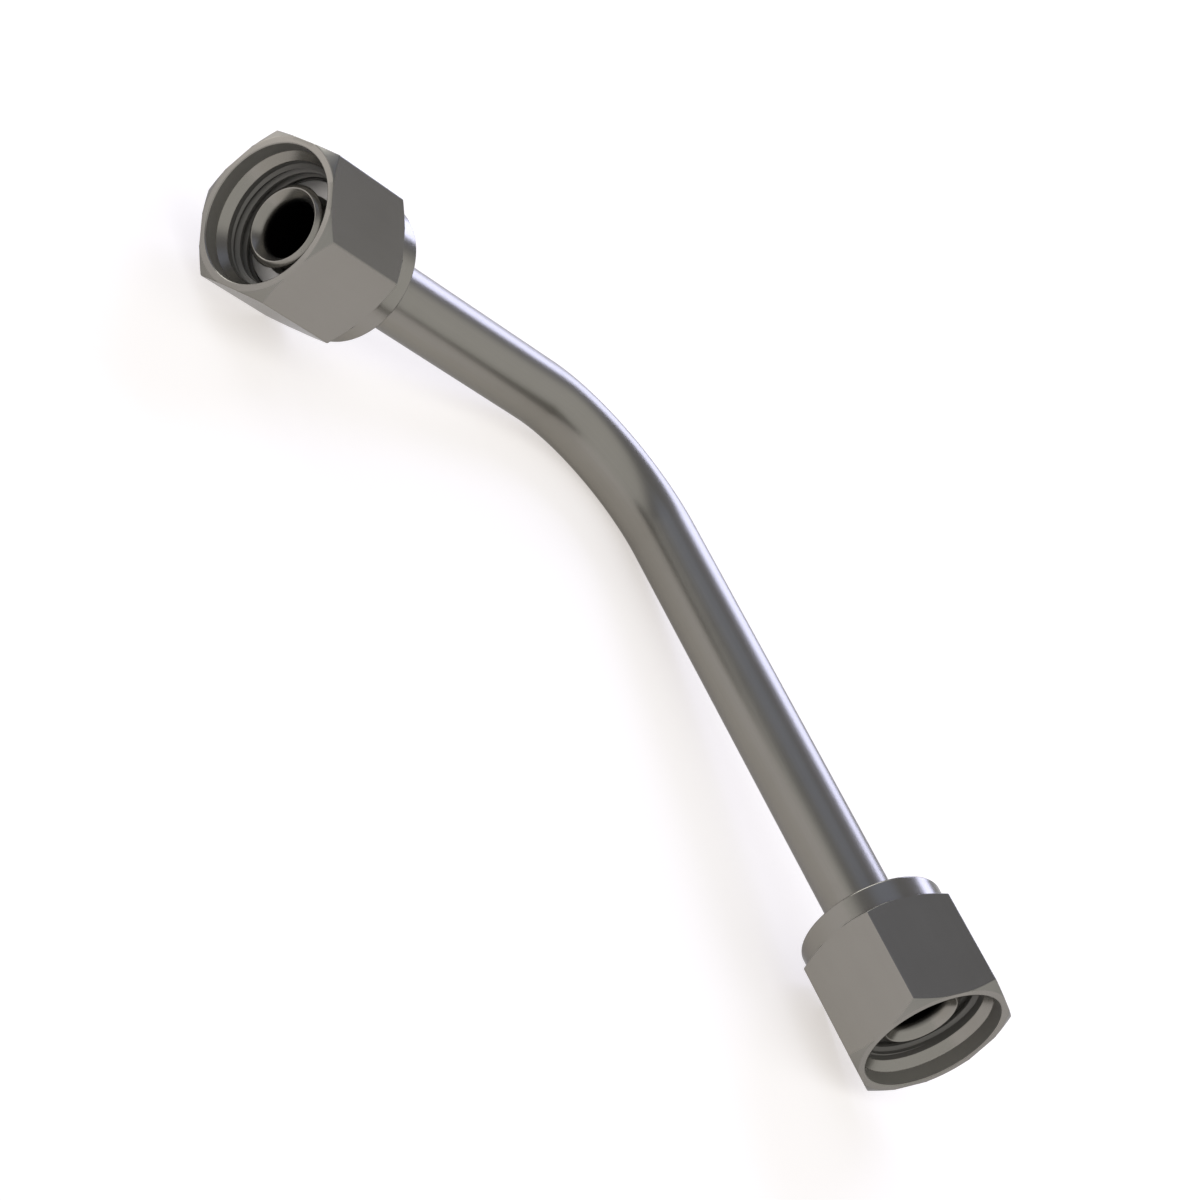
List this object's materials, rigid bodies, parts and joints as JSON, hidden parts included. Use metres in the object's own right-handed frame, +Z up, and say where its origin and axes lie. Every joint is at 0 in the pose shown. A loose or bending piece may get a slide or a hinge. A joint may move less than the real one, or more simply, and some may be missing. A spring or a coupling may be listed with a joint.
{
  "type": "fuel line",
  "caption": "Rigid fuel line: a steel tube with one right-angle bend, flared at both ends, with a thrust ring and a hexagon union nut on each end.",
  "frame": {"origin": "middle of the bounding box in plan, on the flat surface that the line lies on", "axes": "+Z up; the long leg runs along +Y from the bend and the short leg along +X, both rising a little towards their nuts"},
  "size_m": [0.0986, 0.1252, 0.0269],
  "materials": {
    "tube_steel": "satin",
    "ring_steel": "fine turned",
    "nut_steel": "satin, turned bore"
  },
  "bodies": {
    "tube": {"tube": "tube_steel"},
    "short_leg_ring": {"short_leg_thrust_ring": "ring_steel"},
    "short_leg_nut": {"short_leg_union_nut": "nut_steel"},
    "long_leg_ring": {"long_leg_thrust_ring": "ring_steel"},
    "long_leg_nut": {"long_leg_union_nut": "nut_steel"}
  },
  "joints": [
    {"name": "short_leg_ring_slide", "type": "slide", "parent": "tube", "child": "short_leg_ring", "axis": [0.9921, -0.0058, 0.1252], "range_m": [-0.0455, 0.0028]},
    {"name": "short_leg_nut_turn", "type": "hinge", "parent": "short_leg_ring", "child": "short_leg_nut", "pos_m": [0.04425, -0.05105, 0.014], "axis": [0.9921, -0.0058, 0.1252], "continuous": true},
    {"name": "long_leg_ring_slide", "type": "slide", "parent": "tube", "child": "long_leg_ring", "axis": [-0.0058, 0.9958, 0.0916], "range_m": [-0.0722, 0.0028]},
    {"name": "long_leg_nut_turn", "type": "hinge", "parent": "long_leg_ring", "child": "long_leg_nut", "pos_m": [-0.03793, 0.05786, 0.01368], "axis": [-0.0058, 0.9958, 0.0916], "continuous": true}
  ]
}
